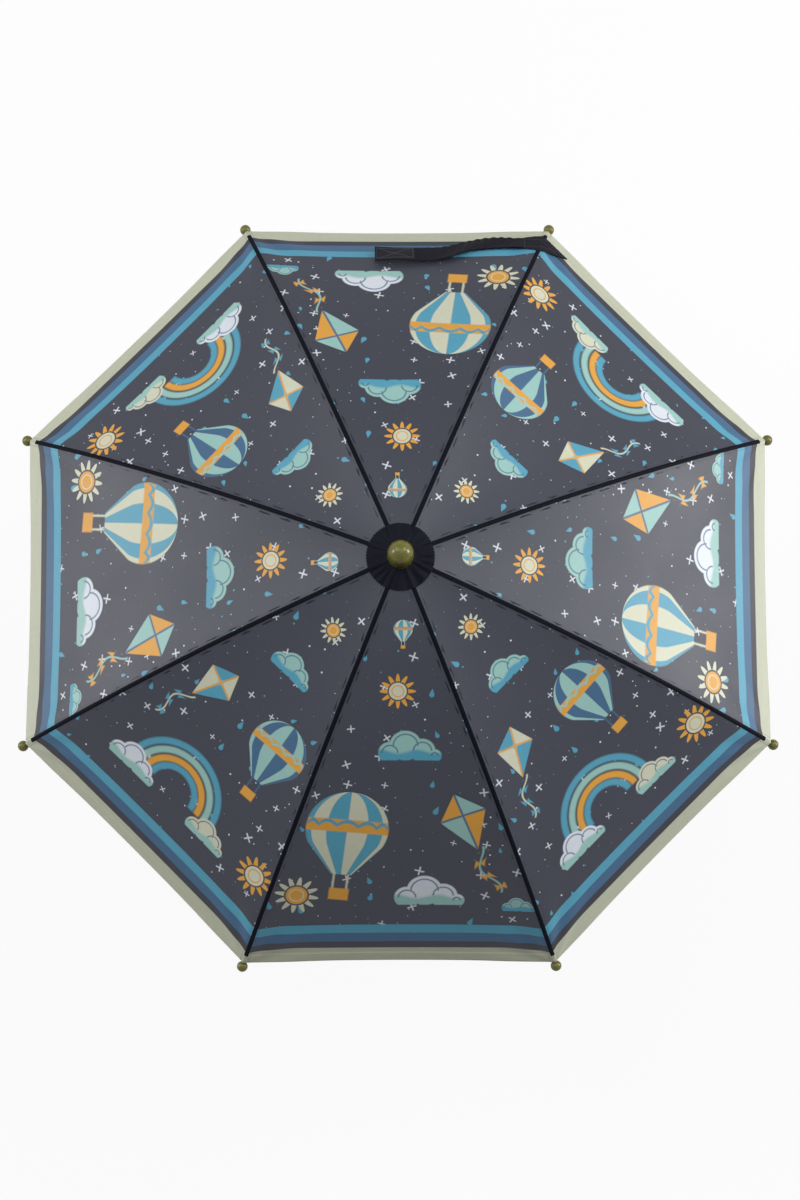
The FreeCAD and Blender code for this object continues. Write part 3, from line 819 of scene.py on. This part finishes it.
# ----------------------------------------------------------------------
# Under disc and rosette: two discs of dark cloth, cut with pinking shears. The small one lies on the
# crown under the canopy's edge, and the large one over it, pressed down in the middle by the finial.

rosette_radius = 0.0273
rosette_lift = 0.0007
rosette_thickness = 0.0004
rosette_flat_height = 0.0031
rosette_ripple = 0.0005
rosette_ripple_from = 0.012
rosette_gather = 0.0004
rosette_gather_from = 0.011
rosette_gather_to = 0.021
rosette_over_ribs = 0.0005
finial_hold = 0.0085
rosette_down_at = 0.0125
under_disc_radius = 0.0085
under_disc_height = 0.0023
under_disc_thickness = 0.00036
under_disc_wave = 0.00005
pinking_teeth = 68
pinking_depth = 0.0009
shaft_radius = 0.00403


def canopy_height(x, y):
    """Height of the canopy's outer face over a point. Each gore is ruled between two ribs, so it is as
    high as the ribs are where a straight line across the gore meets them."""
    azimuth = np.arctan2(y, x)
    off_middle = azimuth - np.round(azimuth / (2 * half_step)) * 2 * half_step
    radius = np.hypot(x, y) * np.cos(off_middle) / math.cos(half_step)
    slope = np.arcsin((radius - rib_bow_x) / (rib_bow_radius + cloth_top))
    return rib_bow_z + (rib_bow_radius + cloth_top) * np.cos(slope)


def pinked_disc(outer, rows, tooth):
    """Disc round the shaft in polar form, with a triangle wave for its edge. Each ring is a closed row."""
    around = np.linspace(0, 2 * math.pi, 4 * pinking_teeth + 1)
    zigzag = 2 * np.abs((around * pinking_teeth / (2 * math.pi)) % 1 - 0.5)
    share = np.linspace(0, 1, rows)[:, None] ** 0.8
    radius = shaft_radius + (outer - tooth * zigzag - shaft_radius) * share
    return radius * np.cos(around), radius * np.sin(around), radius, around


def disc_piece(name, x, y, height, thickness, node):
    """A cloth disc, fixed to the shaft, in place of a CAD node."""
    disc = grid_object(name, np.stack([x, y, height], axis=-1), np.stack([x, y], axis=-1))
    close_seam(disc)
    disc.data.materials.append(rosette_cloth)
    give_thickness(disc, thickness)
    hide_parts(node)
    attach(disc, "shaft_body")


rosette_cloth = plain_cloth("rosette_cloth", srgb(16, 18, 29), 0.0004, 0.45, 0.6)
x, y, radius, around = pinked_disc(under_disc_radius, 8, pinking_depth / 2)
wave = under_disc_wave * np.sin(5 * around) * radius / under_disc_radius
height = crown_height + under_disc_height + rosette_thickness + wave
disc_piece(
    "under_disc_cloth", x, y, height, under_disc_thickness, "under_disc"
)

x, y, radius, around = pinked_disc(rosette_radius, 30, pinking_depth)
ripple = rosette_ripple * np.sin(8 * around + 1.2) * soft_step(radius, rosette_ripple_from, rosette_radius)
gathers = rosette_gather * np.sin(21 * around + 2 * np.sin(3 * around))
gathers = gathers * soft_step(radius, rosette_gather_from, rosette_gather_to)
over_ribs = rosette_over_ribs * ((1 - np.cos(gore_count * around)) / 2) ** 10
resting = canopy_height(x, y) + rosette_lift + ripple + gathers + over_ribs
flat = crown_height + rosette_flat_height
height = flat + (resting - flat) * soft_step(radius, finial_hold, rosette_down_at)
disc_piece("rosette_disc", x, y, height, rosette_thickness, "rosette")

# ----------------------------------------------------------------------
# Finial: a domed cap of glossy moulded plastic, in the olive of the tips. It is pressed on the shaft's
# end and clamps the rosette and the canopy's middle on the crown.

dress(olive_plastic, "finial")

# ----------------------------------------------------------------------
# Tie strap: dark twill tape, sewn down over a corner seam and lying loose along the hem in a slack
# S-bend. A piece of hook tape is stitched on its free end, which holds it round the closed canopy.

strap_width = 0.015
strap_thickness = 0.0008
strap_seam_x = 0.1165
strap_free_x = -0.0190
strap_low = 0.0215
strap_rise = 0.0210
strap_bend_at = 0.050
strap_bend_reach = 0.009
strap_lift = 0.0009
strap_spread = 0.55
strap_spread_from = 0.098
strap_spread_to = 0.122
strap_loose_from = 0.09
strap_wave = 0.0006
strap_ruffle = 0.0004
strap_ruffle_from = 0.02
strap_ruffle_to = 0.05
strap_twist = 0.0036
strap_twist_from = 0.05
strap_overlap = 0.002
strap_turn = 0.15
strap_end_inset = 0.0115
strap_columns = np.linspace(-0.5, 0.5, 15)
patch_length = 0.033
patch_width = 0.0128
patch_lift = 0.0006
patch_thickness = 0.0005
edge_stitch = 0.0022


def strap_middle(x):
    """Distance of the strap's middle line from the hem: a smooth step up the slope towards the free end."""
    return strap_low + strap_rise / (1 + np.exp((x - strap_bend_at) / strap_bend_reach))


def gore_at(up_slope):
    """The gore's distance from the shaft and its slope, that far up the cloth from the hem."""
    _, _, hem_slope = rib_arc(rib_length - hem_setback, cloth_top)
    shrink = math.hypot(math.cos(half_step) * math.cos(hem_slope), math.sin(hem_slope))
    radius, _, slope = rib_arc(rib_length - hem_setback - up_slope / shrink, cloth_top)
    return radius * math.cos(half_step), np.arctan2(np.sin(slope), math.cos(half_step) * np.cos(slope))


def strap_surface(start, stop, rows, width, lift):
    """Tape laid on the gore about the +Y axis, from one place along it to another. A row crosses it at
    right angles to its middle line, measured on the slope, and is wider at the sewn end, where the tape
    is folded under. The loose tape hovers in slow waves and short ruffles, and its free end twists off
    the cloth. Past the seam it turns a little up the next gore."""
    x = start + (stop - start) * np.linspace(0, 1, rows)[:, None]
    middle = strap_middle(x)
    lean = np.arctan(np.gradient(middle, axis=0) / np.gradient(x, axis=0))
    steps = np.hypot(np.diff(x, axis=0), np.diff(middle, axis=0))
    run = np.concatenate([0 * x[:1], np.cumsum(steps, axis=0)])
    side = strap_columns * width * (1 + strap_spread * soft_step(x, strap_spread_from, strap_spread_to))
    across_x = x - side * np.sin(lean)
    out, steep = gore_at(middle + side * np.cos(lean))
    out = out - strap_turn * np.clip(across_x - out * math.tan(half_step), 0, None)
    loose = soft_step(-x, -strap_seam_x, -strap_loose_from)
    wave = strap_wave * (1 + np.sin(across_x / 0.0085 + side / 0.004)) * loose
    ruffle = strap_ruffle * np.sin(across_x / 0.0011 + side / 0.003) * loose
    ruffle = ruffle * soft_step(x, strap_ruffle_from, strap_ruffle_to)
    twist = strap_twist * (0.5 - side / width) * soft_step(-x, -strap_twist_from, 0.0)
    above = lift + wave + ruffle + twist
    z = canopy_height(across_x, out)
    points = np.stack([across_x, out + above * np.sin(steep), z + above * np.cos(steep)], axis=-1)
    uv = np.stack(np.broadcast_arrays(run, side), axis=-1)
    return points, uv, float(run[-1, run.shape[1] // 2])


def sewn_end(side):
    """Where the tape's lengthwise threads, that far from its middle line, meet the next gore's pale
    stripe."""
    stripe = math.sqrt(2) * gore_at(0)[0] - strap_end_inset
    out, _ = gore_at(strap_low + side)
    turned = (stripe - out * (1 + strap_turn * math.tan(half_step))) / (1 - strap_turn)
    return np.maximum(stripe - out, turned)


def stitched_row(distance, along):
    """Row of stitches where the distance is zero, with gaps along it."""
    row = (-abs(distance) + 0.0003).inside(0.00015)
    return row * ((along / edge_stitch).math("FRACT") - 0.25).inside(0.06)


def tape_material(name, colour, thread, stitched):
    """Twill tape: slanted ribs from a sine of along plus across, with stitched rows at those distances
    from its sewn end, and along both edges as far as the last."""
    material, tree, shader, cloth, threads = woven_material(name, thread)
    along, across = flat_place(tree, cloth)
    twill = ((along + across) / (2 * thread) * math.pi).math("SINE")
    rows = stitched_row(abs(across) - 0.0056, along) * (-along + max(stitched)).inside(0.0004)
    for at in stitched:
        rows = rows.most(stitched_row(along - at, across))
    shade = mixed(tree, (twill * 0.5 + 0.5) * 0.3, colour, srgb(46, 45, 54))
    shade = mixed(tree, rows * 0.6, shade, srgb(76, 76, 86))
    colour_cloth(tree, shader, shade, threads)
    height = twill * 0.5 + Number(tree, threads["Height"]) * 0.3 + rows * 1.5
    roughen(tree, shader, height, 0.5, 0.0002)
    set_up(tree, shader, Roughness=0.7, Specular_IOR_Level=0.1)
    return material


def hook_tape_material():
    """Hook tape: rows of tiny stiff hooks as a fine dot grid, stitched round its border and across."""
    material, tree, shader = new_material("hook_tape")
    cloth = add_node(tree, "ShaderNodeUVMap", uv_map="cloth").outputs[0]
    hooks = cell_pattern(tree, cloth, 1100.0, 0.25)
    along, across = flat_place(tree, cloth)
    off_middle = abs(along - patch_length / 2)
    from_edge = (-abs(across) + patch_width / 2).least(-off_middle + patch_length / 2)
    border = stitched_row(from_edge - 0.0013, along + across)
    cross = (-abs(off_middle * (patch_width / patch_length) - abs(across)) + 0.0003).inside(0.00015)
    stitches = border.most(cross * (from_edge - 0.0013).inside(0.0002))
    shade = mixed(tree, hooks.outputs["Distance"], srgb(38, 39, 45), srgb(13, 13, 17))
    shade = mixed(tree, stitches * 0.6, shade, srgb(76, 76, 86))
    set_up(tree, shader, Base_Color=shade, Roughness=0.5, Specular_IOR_Level=0.12)
    height = -Number(tree, hooks.outputs["Distance"]) + stitches * 1.5
    roughen(tree, shader, height, 0.6, 0.0003)
    return material


def tape_piece(name, points, uv, material, thickness, body):
    """A length of tape that moves with that body."""
    tape = grid_object(name, points, uv)
    tape.data.materials.append(material)
    give_thickness(tape, thickness)
    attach(tape, body)
    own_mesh(tape)
    return tape


twill_tape = tape_material("twill_tape", srgb(19, 19, 26), 0.0006, (0.003, 0.008, 0.026))
end_width = (1 + strap_spread) * strap_width
points, uv, run = strap_surface(
    sewn_end(strap_columns * end_width), strap_seam_x - strap_overlap, 40, strap_width, strap_lift - 0.0002
)
anchor = tape_piece("tie_strap_end", points, uv, twill_tape, strap_thickness, "rib_2_body")

sewn_run = run - strap_overlap
points, uv, run = strap_surface(strap_seam_x, strap_free_x, 150, strap_width, strap_lift)
uv = uv + (sewn_run, 0)
strap = tape_piece("tie_strap_tape", points, uv, twill_tape, strap_thickness, "strap_body")
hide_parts("tie_strap")

points, uv, run = strap_surface(
    strap_free_x + patch_length, strap_free_x + 0.001, 40, patch_width, strap_lift + patch_lift
)
hook_tape = hook_tape_material()
patch = tape_piece("tie_strap_hooks", points, uv, hook_tape, patch_thickness, "strap_body")
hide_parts("tie_strap_patch")

# ----------------------------------------------------------------------
# Hand grip and collar: a moulded olive grip that ends in a crook, with a bore that the shaft is pressed
# into, and a ring of the same plastic that closes its top round the shaft.

dress(olive_plastic, "hand_grip", "grip_collar")

# ----------------------------------------------------------------------
# Camera. The umbrella is seen from above, nearly along its shaft, from about 2.8 m above its rim. The
# photograph is 800 x 1200 pixels, and its focal length is given in those pixels.

photo_height = 1200
focal_pixels = 3410
sensor = 36.0
camera_place = (-0.0287, -0.4408, 3.0887)
camera_turn = (8.814, -0.592, -0.166)

camera_data = bpy.data.cameras.new("camera")
camera_data.sensor_width = sensor
camera_data.lens = sensor * focal_pixels / photo_height
camera = bpy.data.objects.new("camera", camera_data)
camera.location = camera_place
camera.rotation_euler = [math.radians(angle) for angle in camera_turn]
scene = bpy.context.scene
scene.collection.objects.link(camera)
scene.camera = camera

# ----------------------------------------------------------------------
# Studio: a plain pale floor under the crook, two softboxes on either side, a wide fill above, and a white
# surround. Floor and surround glow only where they are seen directly, so that their glow doesn't light
# the umbrella. The floor keeps a faint shadow.

scene.view_settings.view_transform = "Standard"


def seen_directly(tree):
    """1 where the camera sees a surface directly, in a mirror or through glass."""
    path = add_node(tree, "ShaderNodeLightPath")
    seen = [Number(tree, path.outputs[f"Is {kind} Ray"]) for kind in ("Camera", "Glossy", "Transmission")]
    return seen[0].most(seen[1]).most(seen[2])


def mix_shaders(tree, mask, first, second, output):
    """The first shader where the mask is 0 and the second where it is 1, into that output node."""
    mix = add_node(tree, "ShaderNodeMixShader", Fac=mask)
    tree.links.new(first.outputs[0], mix.inputs[1])
    tree.links.new(second.outputs[0], mix.inputs[2])
    tree.links.new(mix.outputs[0], tree.nodes[output].inputs["Surface"])


floor_half = 6.0
floor_gap = 0.001
floor_white = 0.9
floor_glow = 0.9
surround_light = 0.06
floor_height = cad_box[0].z - floor_gap
corner_signs = ((-1, -1), (1, -1), (1, 1), (-1, 1))
floor_corners = [(x * floor_half, y * floor_half, floor_height) for x, y in corner_signs]
floor_mesh = bpy.data.meshes.new("floor")
floor_mesh.from_pydata(floor_corners, [], [(0, 1, 2, 3)])
floor = bpy.data.objects.new("floor", floor_mesh)
scene.collection.objects.link(floor)
floor_material, tree, shader = new_material("pale_floor")
set_up(tree, shader, Base_Color=(floor_white, floor_white, floor_white, 1), Roughness=0.9)
glow = add_node(tree, "ShaderNodeEmission", Color=(1, 1, 1, 1), Strength=1.0)
mix_shaders(tree, seen_directly(tree) * floor_glow, shader, glow, "Material Output")
floor_mesh.materials.append(floor_material)

world = bpy.data.worlds.new("studio")
scene.world = world
world.use_nodes = True
tree = world.node_tree
fill = set_up(tree, tree.nodes["Background"], Color=(1, 1, 1, 1), Strength=surround_light)
white = add_node(tree, "ShaderNodeBackground", Color=(1, 1, 1, 1), Strength=1.0)
mix_shaders(tree, seen_directly(tree), fill, white, "World Output")

# Each lamp: azimuth and elevation in degrees, distance, watts and size.
lamps = {
    "right_low_softbox": (6, 8, 2.4, 30, 0.9),
    "right_high_softbox": (27, 40, 2.4, 25, 1.4),
    "left_low_softbox": (174, 8, 2.4, 20, 0.9),
    "left_high_softbox": (153, 40, 2.4, 20, 1.4),
    "overhead_fill": (90, 79, 2.7, 23, 2.5),
}
for name, (azimuth, elevation, distance, watts, size) in lamps.items():
    lamp_data = bpy.data.lights.new(name, "AREA")
    lamp_data.energy = watts
    lamp_data.size = size
    lamp = bpy.data.objects.new(name, lamp_data)
    a, e = math.radians(azimuth), math.radians(elevation)
    away = Vector((math.cos(a) * math.cos(e), math.sin(a) * math.cos(e), math.sin(e)))
    lamp.location = Vector((0, 0, crown_height)) + distance * away
    lamp.rotation_euler = (-away).to_track_quat("-Z", "Y").to_euler()
    scene.collection.objects.link(lamp)
